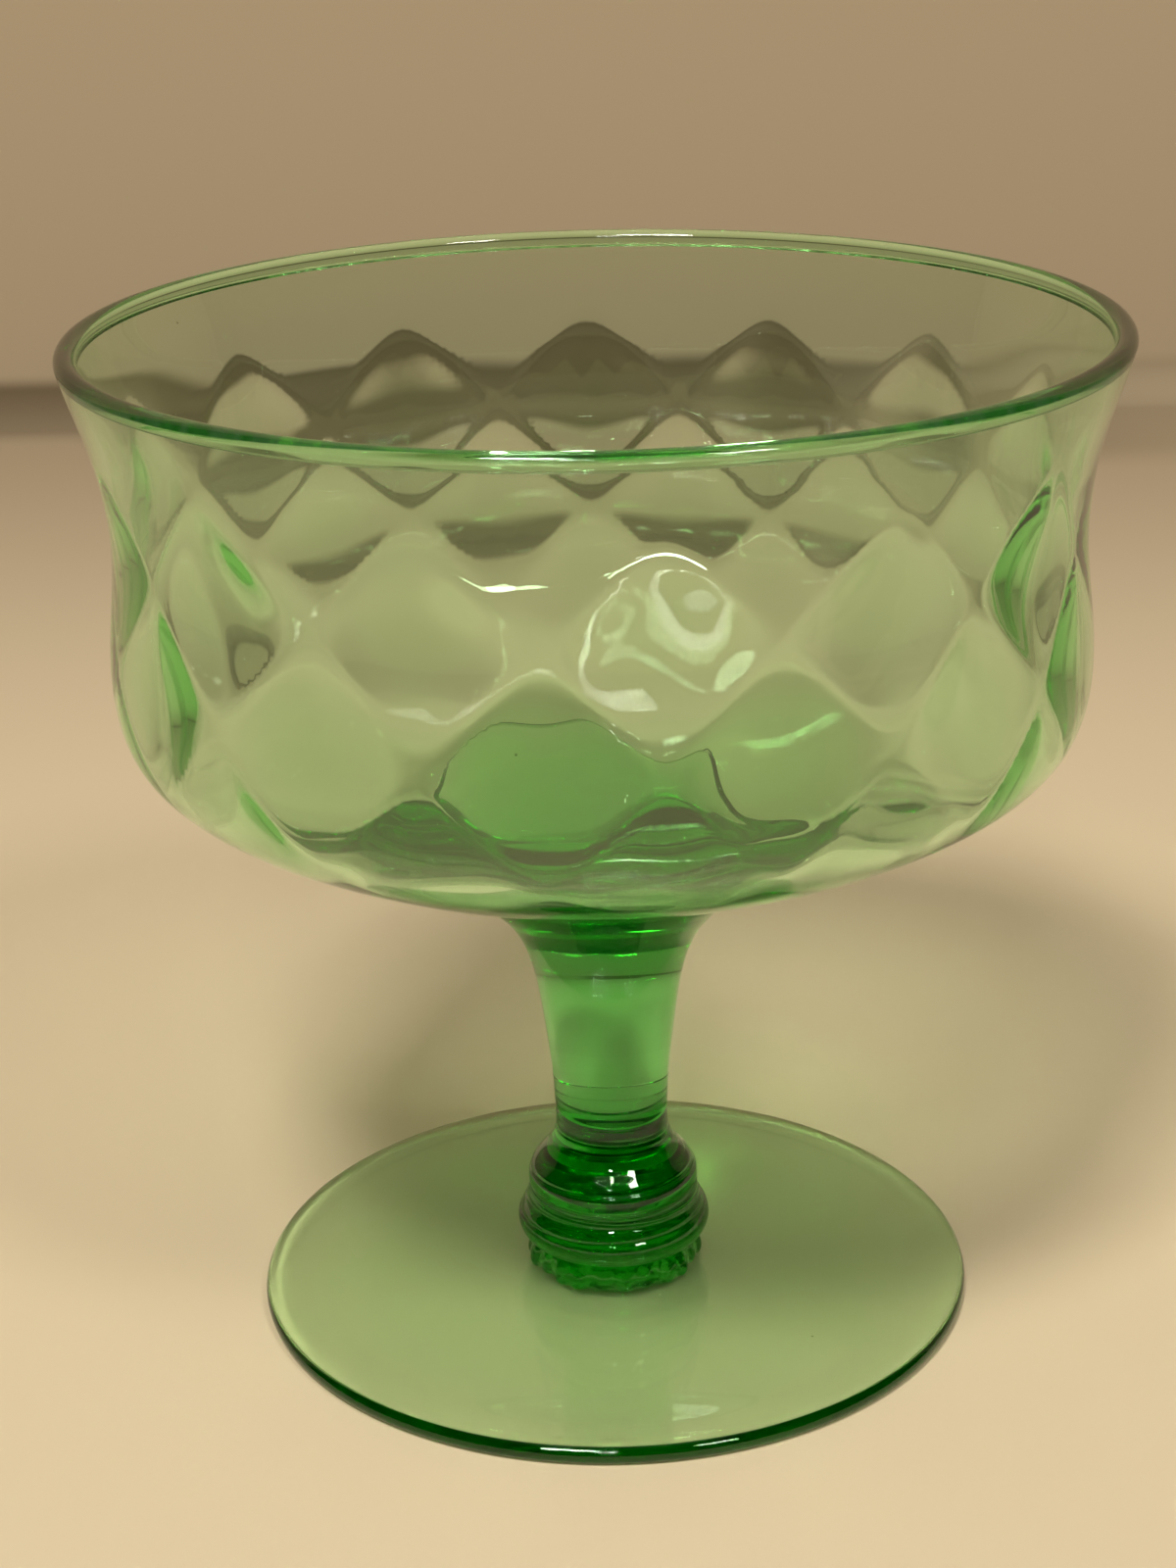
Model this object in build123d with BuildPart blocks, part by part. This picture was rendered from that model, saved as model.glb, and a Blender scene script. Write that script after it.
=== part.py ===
from build123d import *
import math
import os

# Footed dessert glass with a diamond optic. Millimetres, +Z up.
# The origin is the centre of the foot's underside, and every piece is turned about the Z axis.

# Driving dimensions
height = 95.0
rim_radius = 47.1
foot_radius = 34.4

# Foot: a thin flat-bottomed disc that thickens a little towards the middle
foot_edge_thickness = 1.8
foot_middle_thickness = 2.4
foot_middle_radius = 11.0

# Wafer: the squeezed button of glass, with a wavy edge, that joins the knop to the foot
wafer_top = 5.2
wafer_radius = 8.3
wafer_lobes = 9
wafer_lobe_depth = 0.35
wafer_points_per_lobe = 4
wafer_edge_round = 0.8

# Knop: bell-shaped, with a skirt lip at the bottom and a narrow collar at the top
knop_bottom_radius = 8.5
skirt_radius = 9.4
skirt_z = 6.5
waist_radius = 8.35
waist_z = 9.4
shoulder_radius = 8.15
shoulder_z = 11.9
neck_radius = 6.1
neck_z = 14.8
collar_radius = 5.4
collar_z = 17.4
knop_top = 20.0

# Stem: a solid trumpet, narrow at the knop and spread out under the bowl
stem_bottom_radius = 5.5
stem_middle_radius = 6.3
stem_middle_z = 28.0
stem_flare_radius = 9.1
stem_flare_z = 38.0
stem_spread_radius = 13.2
stem_spread_z = 42.4
stem_top_radius = 17.0
stem_top = 45.6

# Bowl, outside: the rim flares out, the side is waisted, and the belly turns in at the heel
lip_root_radius = 45.3
lip_root_z = 88.0
side_radius = 43.7
side_z = 76.0
belly_radius = 44.5
belly_z = 65.0
heel_radius = 42.9
heel_z = 58.6
shelf_radius = 37.5
shelf_z = 54.2
underside_radius = 27.0
underside_z = 49.4

# Bowl, wall and inside
rim_thickness = 1.7
wall_thickness = 1.8
heel_inset = 1.6
heel_rise = 1.0
shelf_inset = 1.0
shelf_rise = 1.3
bottom_inside_z = 49.4
bottom_thickness = 1.9

# Diamond optic: staggered rows of lens-shaped pillows that stand out from the inside wall
cells_round = 14
cell_rows = 2
first_row_z = 78.0
row_pitch = 10.2
first_column_angle = 90.0
pillow_height = 1.1
pillow_radius = 36.0
pillow_base_radius = 42.0


os.makedirs("parts", exist_ok=True)


def finish(piece, name):
    """Label a finished piece and write it to its own file."""
    piece.part.label = name
    export_step(piece.part, f"parts/{name}.step")


def wafer_edge():
    """Points round the wafer's wavy edge."""
    count = wafer_lobes * wafer_points_per_lobe
    points = []
    for step in range(count):
        turn = 2 * math.pi * step / count
        radius = wafer_radius + wafer_lobe_depth * math.cos(wafer_lobes * turn)
        points.append((radius * math.cos(turn), radius * math.sin(turn)))
    return points


# The foot: its rim is a full round
edge_round = foot_edge_thickness / 2
with BuildPart() as foot:
    with BuildSketch(Plane.XZ):
        with BuildLine():
            Line((0, 0), (foot_radius - edge_round, 0))
            ThreePointArc(
                (foot_radius - edge_round, 0),
                (foot_radius, edge_round),
                (foot_radius - edge_round, foot_edge_thickness),
            )
            Polyline(
                (foot_radius - edge_round, foot_edge_thickness),
                (foot_middle_radius, foot_middle_thickness),
                (0, foot_middle_thickness),
                (0, 0),
            )
        make_face()
    revolve(axis=Axis.Z)
finish(foot, "foot")

# The wafer: stands on the middle of the foot
with BuildPart() as wafer:
    with BuildSketch(Plane.XY.offset(foot_middle_thickness)):
        with BuildLine():
            Spline(*wafer_edge(), periodic=True)
        make_face()
    extrude(amount=wafer_top - foot_middle_thickness)
    fillet(wafer.faces().sort_by(Axis.Z)[-1].edges(), radius=wafer_edge_round)
finish(wafer, "wafer")

# The knop: stands on the wafer
with BuildPart() as knop:
    with BuildSketch(Plane.XZ):
        with BuildLine():
            Line((0, wafer_top), (knop_bottom_radius, wafer_top))
            Spline(
                (knop_bottom_radius, wafer_top),
                (skirt_radius, skirt_z),
                (waist_radius, waist_z),
                (shoulder_radius, shoulder_z),
                (neck_radius, neck_z),
                (collar_radius, collar_z),
                (stem_bottom_radius, knop_top),
                tangents=[(1, 0.5), (0.03, 1)],
            )
            Line((stem_bottom_radius, knop_top), (0, knop_top))
            Line((0, knop_top), (0, wafer_top))
        make_face()
    revolve(axis=Axis.Z)
finish(knop, "knop")

# The stem: solid, from the knop's collar to the flat land under the bowl
with BuildPart() as stem:
    with BuildSketch(Plane.XZ):
        with BuildLine():
            Line((0, knop_top), (stem_bottom_radius, knop_top))
            Spline(
                (stem_bottom_radius, knop_top),
                (stem_middle_radius, stem_middle_z),
                (stem_flare_radius, stem_flare_z),
                (stem_spread_radius, stem_spread_z),
                (stem_top_radius, stem_top),
                tangents=[(0.03, 1), (2, 1)],
            )
            Line((stem_top_radius, stem_top), (0, stem_top))
            Line((0, stem_top), (0, knop_top))
        make_face()
    revolve(axis=Axis.Z)
finish(stem, "stem")

# The space inside the bowl: turned, then dented by the pillows, which are parts of spheres
rim_round = rim_thickness / 2
pillow_centre_radius = pillow_base_radius - pillow_height + pillow_radius
with BuildPart() as inside:
    with BuildSketch(Plane.XZ):
        with BuildLine():
            Line((0, height), (rim_radius - rim_round, height))
            RadiusArc(
                (rim_radius - rim_round, height),
                (rim_radius - rim_thickness, height - rim_round),
                -rim_round,
            )
            Spline(
                (rim_radius - rim_thickness, height - rim_round),
                (lip_root_radius - wall_thickness, lip_root_z),
                (side_radius - wall_thickness, side_z),
                (belly_radius - wall_thickness, belly_z),
                (heel_radius - heel_inset, heel_z + heel_rise),
                (shelf_radius - shelf_inset, shelf_z + shelf_rise),
                (underside_radius, underside_z + bottom_thickness),
                (0, bottom_inside_z),
                tangents=[(-0.2, -1), (-1, 0)],
            )
            Line((0, bottom_inside_z), (0, height))
        make_face()
    revolve(axis=Axis.Z)
    for row in range(cell_rows):
        row_angle = first_column_angle + 180 / cells_round * (row % 2)
        with Locations((0, 0, first_row_z - row * row_pitch)):
            with PolarLocations(pillow_centre_radius, cells_round, start_angle=row_angle):
                Sphere(pillow_radius, mode=Mode.SUBTRACT)

# The bowl: the turned outside less the space inside, with a full-round rim and a flat land
# where the stem joins it
with BuildPart() as bowl:
    with BuildSketch(Plane.XZ):
        with BuildLine():
            Line((0, stem_top), (stem_top_radius, stem_top))
            Spline(
                (stem_top_radius, stem_top),
                (underside_radius, underside_z),
                (shelf_radius, shelf_z),
                (heel_radius, heel_z),
                (belly_radius, belly_z),
                (side_radius, side_z),
                (lip_root_radius, lip_root_z),
                (rim_radius, height - rim_round),
                tangents=[(2.6, 1), (0.25, 1)],
            )
            RadiusArc(
                (rim_radius, height - rim_round),
                (rim_radius - rim_round, height),
                rim_round,
            )
            Line((rim_radius - rim_round, height), (0, height))
            Line((0, height), (0, stem_top))
        make_face()
    revolve(axis=Axis.Z)
    add(inside.part, mode=Mode.SUBTRACT)
finish(bowl, "bowl")
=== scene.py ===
"""Looks of the footed optic dessert glass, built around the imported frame. Metres, +Z up."""
import math

import bpy
import numpy as np
from mathutils import Matrix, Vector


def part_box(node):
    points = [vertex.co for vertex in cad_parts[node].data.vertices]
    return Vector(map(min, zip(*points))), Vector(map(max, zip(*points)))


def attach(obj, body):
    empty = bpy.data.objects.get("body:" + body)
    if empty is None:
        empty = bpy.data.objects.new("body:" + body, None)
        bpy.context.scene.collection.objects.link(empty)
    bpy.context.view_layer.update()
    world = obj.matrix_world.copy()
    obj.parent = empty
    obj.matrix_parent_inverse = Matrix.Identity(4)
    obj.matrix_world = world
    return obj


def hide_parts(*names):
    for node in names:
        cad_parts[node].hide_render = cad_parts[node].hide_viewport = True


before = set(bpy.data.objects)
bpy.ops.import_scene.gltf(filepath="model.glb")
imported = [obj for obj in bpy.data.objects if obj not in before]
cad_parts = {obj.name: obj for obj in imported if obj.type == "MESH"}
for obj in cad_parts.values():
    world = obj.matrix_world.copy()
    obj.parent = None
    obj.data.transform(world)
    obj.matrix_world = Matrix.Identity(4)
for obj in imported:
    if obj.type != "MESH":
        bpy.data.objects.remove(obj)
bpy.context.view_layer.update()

MM = 0.001
BODY = "root"

# Sizes that the frame gives
FOOT_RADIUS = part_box("foot")[1].x
FOOT_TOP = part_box("foot")[1].z
WAFER_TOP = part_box("wafer")[1].z
KNOP_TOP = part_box("knop")[1].z
STEM_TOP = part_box("stem")[1].z
STEM_TOP_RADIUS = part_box("stem")[1].x
RIM_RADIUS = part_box("bowl")[1].x
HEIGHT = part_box("bowl")[1].z

# Fused pieces overlap by this much, so that no film of air lies between them
FUSE = 0.06 * MM

# Where a piece is cut across, its last points lie this close, to keep the corner crisp
CUT_SUPPORT = 0.03 * MM

# Points along a flat face that runs to the axis lie this far apart
FLAT_SPACING = 0.6 * MM


# ---------------------------------------------------------------- lines and meshes

def unit(vector):
    vector = np.array(vector, float)
    return vector / np.linalg.norm(vector)


def smooth_line(points, spacing, start=None, end=None):
    """Evenly spaced points along a curvature-continuous line through (radius, height) points."""
    p = np.array(points, float)
    gap = np.linalg.norm(np.diff(p, axis=0), axis=1)
    count = len(p)
    matrix = np.zeros((count, count))
    right = np.zeros((count, 2))
    for i in range(1, count - 1):
        matrix[i, i - 1 : i + 2] = gap[i], 2 * (gap[i - 1] + gap[i]), gap[i - 1]
        before = gap[i] * (p[i] - p[i - 1]) / gap[i - 1]
        after = gap[i - 1] * (p[i + 1] - p[i]) / gap[i]
        right[i] = 3 * (before + after)
    matrix[0, :2] = (2, 1) if start is None else (1, 0)
    right[0] = 3 * (p[1] - p[0]) / gap[0] if start is None else unit(start)
    matrix[-1, -2:] = (1, 2) if end is None else (0, 1)
    right[-1] = 3 * (p[-1] - p[-2]) / gap[-1] if end is None else unit(end)
    slope = np.linalg.solve(matrix, right)
    fine = []
    s = np.linspace(0, 1, 200)[:, None]
    for i in range(count - 1):
        fine.append(
            (2 * s**3 - 3 * s**2 + 1) * p[i]
            + (s**3 - 2 * s**2 + s) * gap[i] * slope[i]
            + (3 * s**2 - 2 * s**3) * p[i + 1]
            + (s**3 - s**2) * gap[i] * slope[i + 1]
        )
    return even_line(np.concatenate(fine), spacing)


def even_line(line, spacing):
    """The same line with points every `spacing` along it, ends kept."""
    step = np.linalg.norm(np.diff(line, axis=0), axis=1)
    line = line[np.concatenate([[True], step > 1e-12])]
    length = np.concatenate([[0], np.cumsum(np.linalg.norm(np.diff(line, axis=0), axis=1))])
    count = max(2, round(length[-1] / spacing) + 1)
    at = np.linspace(0, length[-1], count)
    return np.stack([np.interp(at, length, line[:, k]) for k in (0, 1)], 1)


def arc_line(centre, radius, from_degrees, to_degrees, count):
    """Points along part of a circle."""
    turn = np.radians(np.linspace(from_degrees, to_degrees, count))
    return np.stack([centre[0] + radius * np.cos(turn), centre[1] + radius * np.sin(turn)], 1)


def join_lines(*lines):
    """One line from several, with the repeated joins left out."""
    joined = [np.array(lines[0], float)]
    for line in lines[1:]:
        line = np.array(line, float)
        if np.linalg.norm(line[0] - joined[-1][-1]) < 1e-7:
            line = line[1:]
        joined.append(line)
    return np.concatenate(joined)


def capped(side, under_spacing=FLAT_SPACING, top_spacing=FLAT_SPACING):
    """A side line with flat faces that close it to the axis below and above."""
    under = even_line(np.array([[0, side[0, 1]], side[0]]), under_spacing)
    top = even_line(np.array([side[-1], [0, side[-1, 1]]]), top_spacing)
    return join_lines(under, side, top)


def normals(line):
    """Unit normals of a (radius, height) line, on its left-hand side."""
    tangent = np.gradient(line, axis=0)
    tangent /= np.linalg.norm(tangent, axis=1)[:, None]
    return np.stack([-tangent[:, 1], tangent[:, 0]], 1)


def split_line(line, height):
    """The parts of a line before and after it crosses a height, with a point close to the cut."""
    over = line[:, 1] > height
    k = int(np.argmax(over[:-1] != over[1:]))
    share = (height - line[k, 1]) / (line[k + 1, 1] - line[k, 1])
    cut = line[k] + share * (line[k + 1] - line[k])
    near = CUT_SUPPORT * unit(line[k + 1] - line[k])
    before = line[: k + 1][np.abs(line[: k + 1, 1] - height) > 2 * CUT_SUPPORT]
    after = line[k + 1 :][np.abs(line[k + 1 :, 1] - height) > 2 * CUT_SUPPORT]
    return np.array([*before, cut - near, cut]), np.array([cut, cut + near, *after])


def turned(name, line, material, steps=256, shift=None):
    """A closed piece turned about Z from a line that starts and ends on the axis.

    shift(turn, line) gives how far each point moves along the line's outward normal.
    """
    rings = line[1:-1]
    turn = np.linspace(0, 2 * math.pi, steps, endpoint=False)
    radius = np.repeat(rings[:, :1], steps, 1)
    height = np.repeat(rings[:, 1:], steps, 1)
    if shift is not None:
        outward = -normals(line)[1:-1]
        moved = shift(turn[None, :], rings)
        radius = radius + outward[:, :1] * moved
        height = height + outward[:, 1:] * moved
    x = radius * np.cos(turn)
    y = radius * np.sin(turn)
    points = np.stack([x, y, height], 2).reshape(-1, 3).tolist()
    bottom = len(points)
    points += [[0, 0, line[0, 1]], [0, 0, line[-1, 1]]]
    faces = []
    last = (len(rings) - 1) * steps
    for i in range(steps):
        j = (i + 1) % steps
        faces.append((bottom, j, i))
        faces.append((bottom + 1, last + i, last + j))
        for ring in range(0, last, steps):
            faces.append((ring + i, ring + j, ring + steps + j, ring + steps + i))
    return mesh_piece(name, points, faces, material)


def turned_ring(name, loop, material, steps=256):
    """A closed ring turned about Z from a closed loop that runs outwards along its underside."""
    turn = np.linspace(0, 2 * math.pi, steps, endpoint=False)
    x = loop[:, :1] * np.cos(turn)
    y = loop[:, :1] * np.sin(turn)
    z = np.repeat(loop[:, 1:], steps, 1)
    points = np.stack([x, y, z], 2).reshape(-1, 3).tolist()
    faces = []
    for row in range(len(loop)):
        low = row * steps
        high = (row + 1) % len(loop) * steps
        for i in range(steps):
            j = (i + 1) % steps
            faces.append((low + i, low + j, high + j, high + i))
    return mesh_piece(name, points, faces, material)


def mesh_piece(name, points, faces, material):
    """A smooth-shaded piece, added to the scene."""
    mesh = bpy.data.meshes.new(name)
    mesh.from_pydata(points, [], faces)
    mesh.polygons.foreach_set("use_smooth", [True] * len(mesh.polygons))
    mesh.materials.append(material)
    mesh.update()
    piece = bpy.data.objects.new(name, mesh)
    bpy.context.scene.collection.objects.link(piece)
    return piece


def stands_for(piece, node):
    """Shows a piece in place of a CAD node, on the part's one body."""
    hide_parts(node)
    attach(piece, BODY)
    return piece


# ---------------------------------------------------------------- materials

THIN_TINT = (0.25, 0.83, 0.17)
THIN_DENSITY = 120.0
FOOT_DENSITY = 150.0
# Painted shade: the stem is the bowl's green glass, with denser absorption to darken it as shade
# does
STEM_TINT = (0.20, 0.83, 0.20)
STEM_DENSITY = 175.0
# Painted shade: the knop and wafer are the bowl's green glass, given a deeper tint and denser
# absorption to darken them as shade does
KNOP_WAFER_SHADE_TINT = (0.05, 0.84, 0.10)
KNOP_WAFER_SHADE_DENSITY = 360.0
CLEAR = (0.97, 1.0, 0.97, 1)
SPECK = (0.30, 0.27, 0.16, 1)
GLASS_IOR = 1.5
GRAIN_SCALE = 150.0
GRAIN_INNER, GRAIN_OUTER = 0.012, 0.024
GRAIN_SHARE = 0.72
HAZE_SCALE, HAZE_DETAIL = 90.0, 5.0
HAZE_LOW, HAZE_HIGH = 0.52, 0.80
RIPPLE_DETAIL = 1.5
RIPPLE_DEPTH = 1.0 * MM


def noise_range(nodes, links, where, scale, detail, low, high, to):
    """A noise whose values from low to high become 0 to `to`."""
    noise = nodes.new("ShaderNodeTexNoise")
    noise.inputs["Scale"].default_value = scale
    noise.inputs["Detail"].default_value = detail
    span = nodes.new("ShaderNodeMapRange")
    span.inputs["From Min"].default_value = low
    span.inputs["From Max"].default_value = high
    span.inputs["To Min"].default_value = 0.0
    span.inputs["To Max"].default_value = to
    links.new(where.outputs["Object"], noise.inputs["Vector"])
    links.new(noise.outputs["Fac"], span.inputs["Value"])
    return span.outputs["Result"]


def specks(nodes, links, where, scale):
    """1 in a few tiny round specks of grit and dust, 0 elsewhere."""
    grains = nodes.new("ShaderNodeTexVoronoi")
    grains.inputs["Scale"].default_value = scale
    dot = nodes.new("ShaderNodeMapRange")
    dot.inputs["From Min"].default_value = GRAIN_INNER
    dot.inputs["From Max"].default_value = GRAIN_OUTER
    dot.inputs["To Min"].default_value = 1.0
    dot.inputs["To Max"].default_value = 0.0
    chosen = nodes.new("ShaderNodeSeparateColor")
    few = nodes.new("ShaderNodeMath")
    few.operation = "GREATER_THAN"
    few.inputs[1].default_value = GRAIN_SHARE
    both = nodes.new("ShaderNodeMath")
    both.operation = "MULTIPLY"
    links.new(where.outputs["Object"], grains.inputs["Vector"])
    links.new(grains.outputs["Distance"], dot.inputs["Value"])
    links.new(grains.outputs["Color"], chosen.inputs["Color"])
    links.new(chosen.outputs["Red"], few.inputs[0])
    links.new(dot.outputs["Result"], both.inputs[0])
    links.new(few.outputs["Value"], both.inputs[1])
    return both.outputs["Value"]


def glass(name, tint=THIN_TINT, density=THIN_DENSITY, haze=0.03, ripple=0.02, ripple_scale=60.0):
    """Green glass: its colour comes from the depth of glass that light crosses, and from the tint
    and density given, which for the knop, wafer, stem and rim are deepened as painted shade.
    """
    material = bpy.data.materials.new(name)
    material.use_nodes = True
    nodes = material.node_tree.nodes
    links = material.node_tree.links
    nodes.clear()
    out = nodes.new("ShaderNodeOutputMaterial")
    shader = nodes.new("ShaderNodeBsdfPrincipled")
    shader.inputs["Transmission Weight"].default_value = 1.0
    shader.inputs["IOR"].default_value = GLASS_IOR
    depth = nodes.new("ShaderNodeVolumeAbsorption")
    depth.inputs["Color"].default_value = (*tint, 1)
    depth.inputs["Density"].default_value = density
    where = nodes.new("ShaderNodeTexCoord")

    # Grit and dust caught on the surface
    colour = nodes.new("ShaderNodeMix")
    colour.data_type = "RGBA"
    colour.inputs["A"].default_value = CLEAR
    colour.inputs["B"].default_value = SPECK
    links.new(specks(nodes, links, where, GRAIN_SCALE), colour.inputs["Factor"])
    links.new(colour.outputs["Result"], shader.inputs["Base Color"])

    # Faint haze: handling marks and dried water dull the polish in patches
    dull = noise_range(nodes, links, where, HAZE_SCALE, HAZE_DETAIL, HAZE_LOW, HAZE_HIGH, haze)
    links.new(dull, shader.inputs["Roughness"])

    # Faint ripple: the skin of hot-worked glass is never quite flat
    wave = nodes.new("ShaderNodeTexNoise")
    wave.inputs["Scale"].default_value = ripple_scale
    wave.inputs["Detail"].default_value = RIPPLE_DETAIL
    bump = nodes.new("ShaderNodeBump")
    bump.inputs["Strength"].default_value = ripple
    bump.inputs["Distance"].default_value = RIPPLE_DEPTH
    links.new(where.outputs["Object"], wave.inputs["Vector"])
    links.new(wave.outputs["Fac"], bump.inputs["Height"])
    links.new(bump.outputs["Normal"], shader.inputs["Normal"])

    links.new(shader.outputs["BSDF"], out.inputs["Surface"])
    links.new(depth.outputs["Volume"], out.inputs["Volume"])
    return material


# ---------------------------------------------------------------- foot

FOOT_EDGE = 1.8 * MM
FOOT_MIDDLE_RADIUS = 11.0 * MM
FOOT_DISH = 0.35 * MM
FOOT_BEAD = 0.12 * MM
FOOT_UNDER_SPACING, FOOT_TOP_SPACING = 1.0 * MM, 0.4 * MM
FOOT_STEPS = 288


def make_foot():
    """A thin disc with a round edge, a faint bead just inside it and a slightly hollow underside."""
    half = FOOT_EDGE / 2
    under = smooth_line(
        [(0, FOOT_DISH), (FOOT_RADIUS * 0.6, FOOT_DISH * 0.7), (FOOT_RADIUS - 2 * half, 0)],
        FOOT_UNDER_SPACING,
    )
    edge = arc_line((FOOT_RADIUS - half, half), half, -100, 90, 15)
    top = smooth_line(
        [
            (FOOT_RADIUS - half, FOOT_EDGE),
            (FOOT_RADIUS - 2.6 * half, FOOT_EDGE - FOOT_BEAD),
            (FOOT_RADIUS - 6.0 * half, FOOT_EDGE),
            (FOOT_MIDDLE_RADIUS, FOOT_TOP),
            (0, FOOT_TOP),
        ],
        FOOT_TOP_SPACING,
        start=(-1, 0),
        end=(-1, 0),
    )
    material = glass("foot_glass", density=FOOT_DENSITY)
    return turned("foot_glass", join_lines(under, edge, top), material, steps=FOOT_STEPS)


# ---------------------------------------------------------------- wafer

WAFER_RADIUS = 8.3 * MM
WAFER_WAVE = 0.42 * MM
WAFER_WAVES = ((0.4, 9, 0.4), (0.35, 23, 2.1), (0.25, 5, 4.0))  # share, waves round, start
WAFER_RIPPLE, WAFER_RIPPLE_SCALE = 0.15, 400.0
WAFER_LOW_SIDE = ((-0.3 * MM, 0), (0.1 * MM, 0.5 * MM), (0, 1.6 * MM))  # out, up from its bottom
WAFER_HIGH_SIDE = ((-0.4 * MM, -0.5 * MM), (-1.1 * MM, 0))  # out, up from its top
WAFER_SPACING = 0.15 * MM
WAFER_STEPS = 288


def wafer_shift(turn, rings):
    """The squeezed edge is wavy, most of all where it meets the foot."""
    waves = sum(share * np.cos(count * turn + start) for share, count, start in WAFER_WAVES)
    low = np.clip((WAFER_TOP - rings[:, 1:]) / (WAFER_TOP - FOOT_TOP), 0, 1)
    side = np.clip(rings[:, :1] / WAFER_RADIUS * 4 - 3, 0, 1)
    return WAFER_WAVE * waves * (0.35 + 0.65 * low) * side


def make_wafer():
    """The squeezed button of glass between the foot and the knop."""
    low = FOOT_TOP - FUSE
    high = WAFER_TOP + FUSE
    places = [(WAFER_RADIUS + out, low + up) for out, up in WAFER_LOW_SIDE]
    places += [(WAFER_RADIUS + out, high + up) for out, up in WAFER_HIGH_SIDE]
    side = smooth_line(places, WAFER_SPACING, start=(1, 0.1), end=(-1, 0.1))
    material = glass(
        "wafer_glass",
        KNOP_WAFER_SHADE_TINT,
        KNOP_WAFER_SHADE_DENSITY,
        ripple=WAFER_RIPPLE,
        ripple_scale=WAFER_RIPPLE_SCALE,
    )
    return turned("wafer_glass", capped(side), material, steps=WAFER_STEPS, shift=wafer_shift)


# ---------------------------------------------------------------- knop

KNOP_BOTTOM_RADIUS = 8.5 * MM
SKIRT = (9.35 * MM, 6.5 * MM)
WAIST = (8.35 * MM, 9.4 * MM)
SHOULDER = (8.15 * MM, 11.9 * MM)
KNOP_NECK = (6.1 * MM, 14.8 * MM)
KNOP_COLLAR = (5.4 * MM, 17.4 * MM)
STEM_BOTTOM_RADIUS = 5.5 * MM
RING_HEIGHTS = (7.9, 8.9, 9.7, 10.6, 12.4, 16.4, 18.4)
RING_DEPTH = 0.10 * MM
RING_WIDTH = 0.22 * MM
RING_WANDER = 0.25 * MM
KNOP_SPACING = 0.12 * MM
KNOP_STEPS = 192


def knop_shift(turn, rings):
    """Shallow turning rings, left by the tool round the knop's waist."""
    moved = np.zeros((len(rings), turn.shape[1]))
    for number, ring_height in enumerate(RING_HEIGHTS):
        wander = RING_WANDER * np.cos(turn + 1.7 * number)
        off = (rings[:, 1:] - ring_height * MM - wander) / RING_WIDTH
        moved -= RING_DEPTH * np.exp(-off * off)
    return moved


def make_knop():
    """The bell-shaped knop, with a skirt lip below and a narrow collar above."""
    bottom = (KNOP_BOTTOM_RADIUS, WAFER_TOP)
    top = (STEM_BOTTOM_RADIUS, KNOP_TOP)
    side = smooth_line(
        [bottom, SKIRT, WAIST, SHOULDER, KNOP_NECK, KNOP_COLLAR, top],
        KNOP_SPACING,
        start=(1, 0.5),
        end=(0.03, 1),
    )
    material = glass("knop_glass", KNOP_WAFER_SHADE_TINT, KNOP_WAFER_SHADE_DENSITY)
    return turned("knop_glass", capped(side), material, steps=KNOP_STEPS, shift=knop_shift)


# ---------------------------------------------------------------- stem

STEM_MIDDLE = (6.3 * MM, 28.0 * MM)
STEM_FLARE = (9.1 * MM, 38.0 * MM)
STEM_SPREAD = (13.2 * MM, 42.4 * MM)
MARK_BOTTOM = 33 * MM
MARK_FADE = 8 * MM
MARK_PITCH = 0.55 * MM
MARK_DEPTH = 0.020 * MM
STEM_SPACING = 0.2 * MM
STEM_TOP_SPACING = 0.8 * MM
STEM_STEPS = 192


def stem_shift(turn, rings):
    """Fine tool marks that wind round the flare, fading down the stem."""
    height = rings[:, 1:]
    fade = np.clip((height - MARK_BOTTOM) / MARK_FADE, 0, 1)
    wind = np.sin(height / MARK_PITCH + 1.5 * np.sin(turn + 0.6) + turn)
    return MARK_DEPTH * fade * wind * (0.6 + 0.4 * np.cos(2 * turn + 1.0))


def make_stem():
    """The solid trumpet stem, from the knop to the underside of the bowl."""
    bottom = (STEM_BOTTOM_RADIUS, KNOP_TOP - FUSE)
    top = (STEM_TOP_RADIUS, STEM_TOP + FUSE)
    side = smooth_line(
        [bottom, STEM_MIDDLE, STEM_FLARE, STEM_SPREAD, top],
        STEM_SPACING,
        start=(0.03, 1),
        end=(2, 1),
    )
    line = capped(side, top_spacing=STEM_TOP_SPACING)
    material = glass("stem_glass", STEM_TINT, STEM_DENSITY)
    return turned("stem_glass", line, material, steps=STEM_STEPS, shift=stem_shift)


# ---------------------------------------------------------------- bowl

BOWL_OUTSIDE = [
    (27.0 * MM, 49.4 * MM),
    (37.5 * MM, 54.2 * MM),
    (42.9 * MM, 58.6 * MM),
    (44.5 * MM, 65.0 * MM),
    (43.7 * MM, 76.0 * MM),
    (45.3 * MM, 88.0 * MM),
]
BOWL_INSIDE = [
    (43.5 * MM, 88.0 * MM),
    (41.9 * MM, 76.0 * MM),
    (42.7 * MM, 65.5 * MM),
    (41.3 * MM, 59.5 * MM),
    (36.6 * MM, 55.6 * MM),
    (27.0 * MM, 52.1 * MM),
    (0.0, 50.2 * MM),
]
RIM_THICKNESS = 1.9 * MM
# Painted shade: the rim's ring is the bowl's green glass, made deeper and denser
RIM_SHADE_TINT = (0.10, 0.86, 0.10)
RIM_SHADE_DENSITY = 220.0
RIM_HEIGHT = 1.5 * MM

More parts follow.
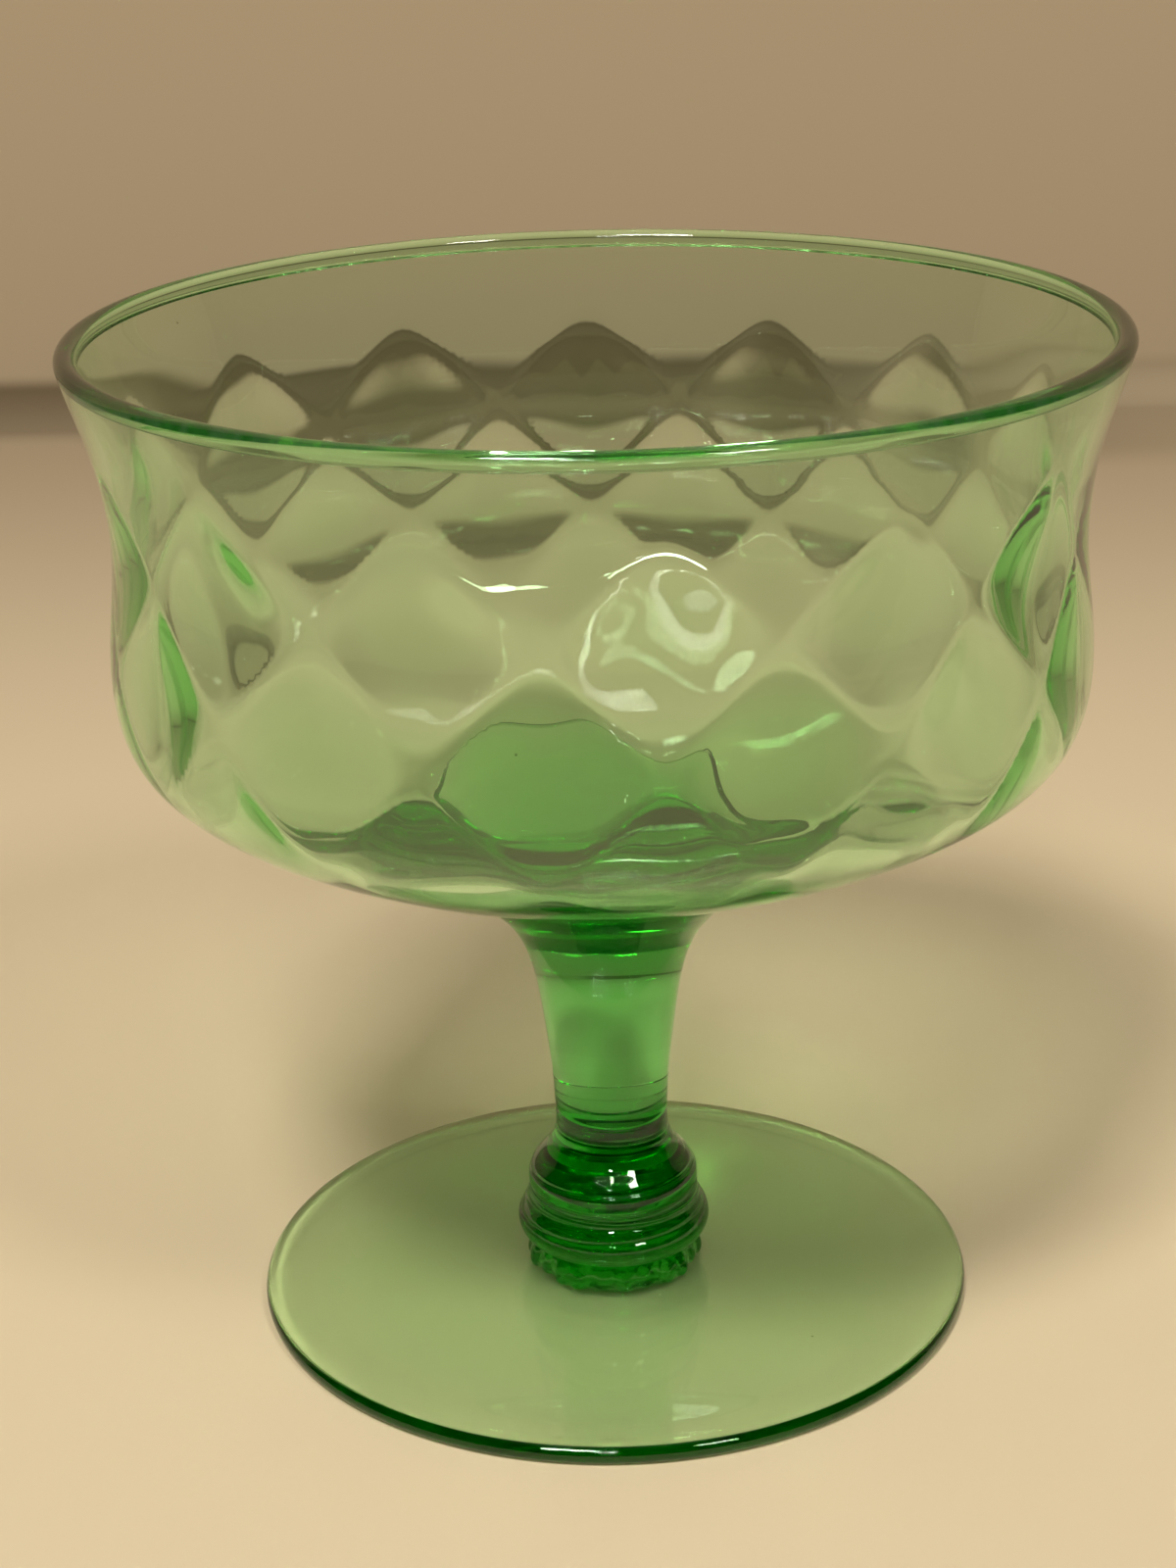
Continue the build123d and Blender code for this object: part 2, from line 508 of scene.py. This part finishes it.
# Diamond optic: rows of pillows on the inside wall, parted by crossing grooves
CELLS_ROUND = 14
ROW_PITCH = 10.2 * MM
FIRST_GROOVE_TOP = 88.0 * MM
PILLOW_HEIGHT = 0.75 * MM
SIDE_RADIUS = 42.0 * MM
HEEL_TOP = 65.0 * MM
HEEL_BOTTOM = 54.0 * MM
HEEL_SHARE = 0.3  # of the pillows' height that is left below the heel
GROOVE_SOFTNESS = 0.55
PILLOW_SHAPE = 0.6
COLUMN_TURN, COLUMN_SWAY = math.radians(3.75), math.radians(2.65)
WANDER_INSIDE, WANDER_OUTSIDE = 0.06 * MM, 0.10 * MM
WANDER_BOTTOM, WANDER_TOP, WANDER_FADE = 50 * MM, 92 * MM, 8 * MM
LEAST_PITCH = 0.25  # of the row pitch, kept where the rows crowd in towards the middle
INWARD_FADE = 3  # the power of the radius with which the pillows fade towards the middle
LAND_SPACING, OUTSIDE_SPACING, INSIDE_SPACING = 1.0 * MM, 0.8 * MM, 0.6 * MM
BOWL_STEPS = CELLS_ROUND * 24

# Slow waves of the blown wall: share, waves round, start and the height over which they turn
WALL_WAVES = (
    (0.40, 2, 0.7, 25 * MM),
    (0.35, 3, -1.1, -14 * MM),
    (0.25, 7, 2.3, 9 * MM),
)


def column(turn):
    """How many cells round a place is, with the slight unevenness of handwork."""
    back = math.pi / 2 - turn
    even = back + COLUMN_TURN - COLUMN_SWAY * np.cos(back)
    return CELLS_ROUND * even / (2 * math.pi)


def soft_groove(x):
    """0 in a groove and 1 midway between grooves, with a rounded bottom."""
    soft = GROOVE_SOFTNESS
    return (np.sqrt(np.sin(math.pi * x) ** 2 + soft**2) - soft) / (math.sqrt(1 + soft**2) - soft)


def pillow(turn, row):
    """0 in the grooves and on the plain band above them, and 1 on the crown of a pillow."""
    across = column(turn)
    from_column = np.abs((across + 0.5) % 1.0 - 0.5)
    inside = row > 2 * from_column
    crown = soft_groove(across + row / 2) * soft_groove(across - row / 2)
    return inside * crown**PILLOW_SHAPE


def unevenness(turn, height):
    """Slow waves, from -1 to 1, of a wall that was blown and finished by hand."""
    return sum(
        share * np.cos(count * turn + start + height / rise)
        for share, count, start, rise in WALL_WAVES
    )


def make_bowl():
    """The bowl's wall and bottom, and its rim, a ring of denser glass whose deeper green is painted
    shade in place of the green that light running up inside it gives.
    """
    half = RIM_THICKNESS / 2
    rim_z = HEIGHT - half
    seam = HEIGHT - RIM_HEIGHT
    land = even_line(np.array([[0, STEM_TOP], [STEM_TOP_RADIUS, STEM_TOP]]), LAND_SPACING)
    outside = smooth_line(
        [(STEM_TOP_RADIUS, STEM_TOP), *BOWL_OUTSIDE, (RIM_RADIUS, rim_z)],
        OUTSIDE_SPACING,
        start=(2.6, 1),
        end=(0.25, 1),
    )
    rim = arc_line((RIM_RADIUS - half, rim_z), half, 0, 180, 17)
    inside = smooth_line(
        [(RIM_RADIUS - RIM_THICKNESS, rim_z), *BOWL_INSIDE],
        INSIDE_SPACING,
        start=(-0.2, -1),
        end=(-1, 0),
    )

    # The rim's own ring, which reaches a little way down into the wall; its denser, deeper green
    # glass is painted shade
    rim_outside = split_line(outside, seam - FUSE)[1]
    rim_inside = split_line(inside, seam - FUSE)[0]
    loop = join_lines(rim_outside, rim, rim_inside)
    rim_glass = glass("rim_glass", RIM_SHADE_TINT, RIM_SHADE_DENSITY)
    stands_for(turned_ring("rim_glass", loop, rim_glass, steps=BOWL_STEPS), "bowl")

    # The wall, with the pillows' rows counted down its inside from the top of the net
    outside = split_line(outside, seam)[0]
    inside = split_line(inside, seam)[1]
    line = join_lines(land, outside, inside)
    first_inside = len(line) - len(inside)
    rings = line[1:-1]
    step = np.linalg.norm(np.diff(rings, axis=0, prepend=rings[:1]), axis=1)
    pitch = ROW_PITCH * np.clip(rings[:, 0] / SIDE_RADIUS, LEAST_PITCH, 1)
    is_inside = np.arange(1, len(line) - 1) >= first_inside
    rows_down = np.cumsum(np.where(is_inside, step / pitch, 0))
    top = np.argmin(np.where(is_inside, np.abs(rings[:, 1] - FIRST_GROOVE_TOP), 1))
    row = (rows_down - rows_down[top])[:, None]
    above_heel = np.clip((rings[:, 1:] - HEEL_BOTTOM) / (HEEL_TOP - HEEL_BOTTOM), 0, 1)
    outward = np.clip(rings[:, :1] / SIDE_RADIUS, 0, 1) ** INWARD_FADE
    share = HEEL_SHARE + (1 - HEEL_SHARE) * above_heel
    height = PILLOW_HEIGHT * share * outward * is_inside[:, None]
    from_bottom = np.clip((rings[:, 1:] - WANDER_BOTTOM) / WANDER_FADE, 0, 1)
    from_top = np.clip((WANDER_TOP - rings[:, 1:]) / WANDER_FADE, 0, 1)
    wander = np.where(is_inside[:, None], WANDER_INSIDE, WANDER_OUTSIDE) * from_bottom * from_top

    def optic(turn, _):
        return height * pillow(turn, row) + wander * (unevenness(turn, rings[:, 1:]) - 1)

    return turned("bowl_glass", line, glass("bowl_glass"), steps=BOWL_STEPS, shift=optic)


# ---------------------------------------------------------------- stage, lights and camera

CREASE_Y = 0.366
FLOOR_COLOUR = (0.64, 0.53, 0.36)
# Painted shade: the same cloth is darker on the wall, and the floor deepens towards it from
# TONE_START back
WALL_SHADE_COLOUR = (0.42, 0.33, 0.215)
# Painted shade: a dark band along the foot of the wall, laid into the cloth's colour, narrow on the
# left and fading to the right
CREASE_SHADE_COLOUR = (0.14, 0.102, 0.052)
CLOTH_ROUGHNESS = 0.9
TONE_START = 0.12  # how far back the floor's tone begins to deepen
CREASE_SHADE_WIDTH, CREASE_SHADE_SOFT = 0.036, 0.024
CREASE_SHADE_LOW, CREASE_SHADE_HIGH = 0.007, 0.011
NARROW_FROM, NARROW_TO, NARROW_BY = -0.112, -0.088, 0.040
FADE_FROM, FADE_TO, FADE_LEFT = 0.02, 0.13, 0.2
STAGE_SIDE, STAGE_FRONT, STAGE_TOP = 1.2, -0.9, 1.0
STAGE_BEND = 0.008
BEND_STEPS = 12
FLOOR_Z = -0.02 * MM


def ramp(nodes, links, value, low, high, to_low=0.0, to_high=1.0):
    """A smooth step: to_low up to `low`, to_high from `high` on."""
    step = nodes.new("ShaderNodeMapRange")
    step.interpolation_type = "SMOOTHSTEP"
    step.inputs["From Min"].default_value = low
    step.inputs["From Max"].default_value = high
    step.inputs["To Min"].default_value = to_low
    step.inputs["To Max"].default_value = to_high
    links.new(value, step.inputs["Value"])
    return step.outputs["Result"]


def blend(nodes, links, factor, low, high):
    """The colour `low` where factor is 0 and `high` where it is 1. Either may be a socket."""
    mix = nodes.new("ShaderNodeMix")
    mix.data_type = "RGBA"
    links.new(factor, mix.inputs["Factor"])
    for name, colour in (("A", low), ("B", high)):
        if isinstance(colour, tuple):
            mix.inputs[name].default_value = (*colour, 1)
        else:
            links.new(colour, mix.inputs[name])
    return mix.outputs["Result"]


def sheet_cloth():
    """Pale cloth with painted shade: deeper in tone towards and up the wall, and darkest in a band
    at its foot.

    The painted crease shade is narrow on the left and fades to the right. The cloth is clear from
    behind, so that the glass can be looked at from every side.
    """
    material = bpy.data.materials.new("backdrop")
    material.use_nodes = True
    nodes = material.node_tree.nodes
    links = material.node_tree.links
    shader = nodes["Principled BSDF"]
    shader.inputs["Roughness"].default_value = CLOTH_ROUGHNESS
    where = nodes.new("ShaderNodeTexCoord")
    split = nodes.new("ShaderNodeSeparateXYZ")
    links.new(where.outputs["Object"], split.inputs["Vector"])
    # Painted shade: the cloth darkens from TONE_START back and up the wall
    to_wall = ramp(nodes, links, split.outputs["Y"], TONE_START, CREASE_Y)
    base = blend(nodes, links, to_wall, FLOOR_COLOUR, WALL_SHADE_COLOUR)
    # Painted shade of the crease: the dark band's mask, narrowed on the left and faded to the right
    narrow = nodes.new("ShaderNodeMath")
    narrow.operation = "SUBTRACT"
    links.new(split.outputs["Y"], narrow.inputs[0])
    less = ramp(nodes, links, split.outputs["X"], NARROW_FROM, NARROW_TO, NARROW_BY, 0.0)
    links.new(less, narrow.inputs[1])
    start = CREASE_Y - CREASE_SHADE_WIDTH
    near = ramp(nodes, links, narrow.outputs["Value"], start - CREASE_SHADE_SOFT, start)
    above = ramp(nodes, links, split.outputs["Z"], CREASE_SHADE_LOW, CREASE_SHADE_HIGH, 1.0, 0.0)
    painted_shade = nodes.new("ShaderNodeMath")
    painted_shade.operation = "MULTIPLY"
    links.new(near, painted_shade.inputs[0])
    links.new(above, painted_shade.inputs[1])
    fade = nodes.new("ShaderNodeMath")
    fade.operation = "MULTIPLY"
    links.new(painted_shade.outputs["Value"], fade.inputs[0])
    across = ramp(nodes, links, split.outputs["X"], FADE_FROM, FADE_TO, 1.0, FADE_LEFT)
    links.new(across, fade.inputs[1])
    cloth = blend(nodes, links, fade.outputs["Value"], base, CREASE_SHADE_COLOUR)
    links.new(cloth, shader.inputs["Base Color"])
    facing = nodes.new("ShaderNodeNewGeometry")
    clear = nodes.new("ShaderNodeBsdfTransparent")
    one_sided = nodes.new("ShaderNodeMixShader")
    links.new(facing.outputs["Backfacing"], one_sided.inputs[0])
    links.new(shader.outputs["BSDF"], one_sided.inputs[1])
    links.new(clear.outputs["BSDF"], one_sided.inputs[2])
    links.new(one_sided.outputs["Shader"], nodes["Material Output"].inputs["Surface"])
    return material


def make_stage():
    """A pale sheet that runs back over the floor and turns up into a wall behind."""
    back = CREASE_Y - STAGE_BEND
    line = [(STAGE_FRONT, FLOOR_Z), (back, FLOOR_Z)]
    for step in range(1, BEND_STEPS + 1):
        turn = math.pi / 2 * step / BEND_STEPS
        rise = STAGE_BEND * (1 - math.cos(turn))
        line.append((back + STAGE_BEND * math.sin(turn), FLOOR_Z + rise))
    line.append((back + STAGE_BEND, STAGE_TOP))
    points = [(x, y, z) for y, z in line for x in (-STAGE_SIDE, STAGE_SIDE)]
    faces = [(2 * i, 2 * i + 1, 2 * i + 3, 2 * i + 2) for i in range(len(line) - 1)]
    sheet = mesh_piece("backdrop", points, faces, sheet_cloth())


def aim(place, target):
    """A matrix at `place` whose -Z axis points at `target`."""
    back = unit(np.array(place) - np.array(target))
    right = unit(np.cross((0, 0, 1), back))
    up = np.cross(back, right)
    matrix = Matrix.Identity(4)
    for row in range(3):
        matrix[row][:] = (right[row], up[row], back[row], place[row])
    return matrix


def area_light(name, place, target, size, power, colour):
    data = bpy.data.lights.new(name, "AREA")
    data.shape = "RECTANGLE"
    data.size, data.size_y = size
    data.energy = power
    data.color = colour
    light = bpy.data.objects.new(name, data)
    light.matrix_world = aim(place, target)
    bpy.context.scene.collection.objects.link(light)
    return data


ROOM_COLOUR, ROOM_STRENGTH = (1.0, 0.93, 0.82, 1), 0.16
LAMP_COLOUR = (1.0, 0.95, 0.87)
GLINT_COLOUR = (1.0, 0.98, 0.94)
# Each light: where it is, what it looks at, its size and its power in watts
KEY = (-0.215, -0.565, 0.965), (0, 0, 0.05), (0.24, 0.20), 9.5
FILL = (0.45, -0.62, 0.90), (0, 0, 0.05), (0.20, 0.20), 3.6
GLINT = (-0.06, -0.75, 0.75), (0, 0, 0.06), (0.10, 0.05), 1.2


def make_lights():
    """A warm room, a key light, a fill that casts the second shadow, and a small glint."""
    world = bpy.data.worlds.new("soft_room")
    world.use_nodes = True
    background = world.node_tree.nodes["Background"]
    background.inputs["Color"].default_value = ROOM_COLOUR
    background.inputs["Strength"].default_value = ROOM_STRENGTH
    world.cycles_visibility.glossy = False
    bpy.context.scene.world = world
    area_light("key", *KEY, LAMP_COLOUR)
    fill = area_light("fill", *FILL, LAMP_COLOUR)
    fill.specular_factor = 0.0
    glint = area_light("glint", *GLINT, GLINT_COLOUR)
    glint.diffuse_factor = 0.0
    glint.transmission_factor = 0.0


CAMERA_DISTANCE, CAMERA_LEVEL = 0.2540, 0.1473
CAMERA_PITCH, CAMERA_YAW, CAMERA_ROLL = 0.36027, -0.00606, 0.02379
LENS, SENSOR_WIDTH = 66.95, 36.0


def make_camera():
    """Looks down about 21 degrees from under three glass heights away."""
    pitch, yaw, roll = CAMERA_PITCH, CAMERA_YAW, CAMERA_ROLL
    level_forward = np.array((math.sin(yaw), math.cos(yaw), 0))
    forward = math.cos(pitch) * level_forward - np.array((0, 0, math.sin(pitch)))
    right = np.array((math.cos(yaw), -math.sin(yaw), 0))
    down = np.cross(forward, right)
    rolled_right = math.cos(roll) * right + math.sin(roll) * down
    rolled_down = math.cos(roll) * down - math.sin(roll) * right
    data = bpy.data.cameras.new("camera")
    data.lens = LENS
    data.sensor_width = SENSOR_WIDTH
    data.clip_start = 0.01
    camera = bpy.data.objects.new("camera", data)
    matrix = Matrix.Identity(4)
    for row in range(3):
        matrix[row][:3] = (rolled_right[row], -rolled_down[row], -forward[row])
    matrix[0][3], matrix[1][3], matrix[2][3] = 0, -CAMERA_DISTANCE, CAMERA_LEVEL
    camera.matrix_world = matrix
    bpy.context.scene.collection.objects.link(camera)
    bpy.context.scene.camera = camera


# Light runs far inside the rim and the foot's edge before it leaves, which greens them; the rim's
# ring is also denser glass, as painted shade
GLASS_BOUNCES = 64

make_camera()
stands_for(make_foot(), "foot")
stands_for(make_wafer(), "wafer")
stands_for(make_knop(), "knop")
stands_for(make_stem(), "stem")
stands_for(make_bowl(), "bowl")
make_stage()
make_lights()

scene = bpy.context.scene
scene.view_settings.view_transform = "Standard"
scene.cycles.max_bounces = GLASS_BOUNCES
scene.cycles.transmission_bounces = GLASS_BOUNCES
scene.cycles.glossy_bounces = GLASS_BOUNCES
scene.cycles.blur_glossy = 0.3
scene.cycles.sample_clamp_indirect = 40.0
scene.cycles.use_denoising = True
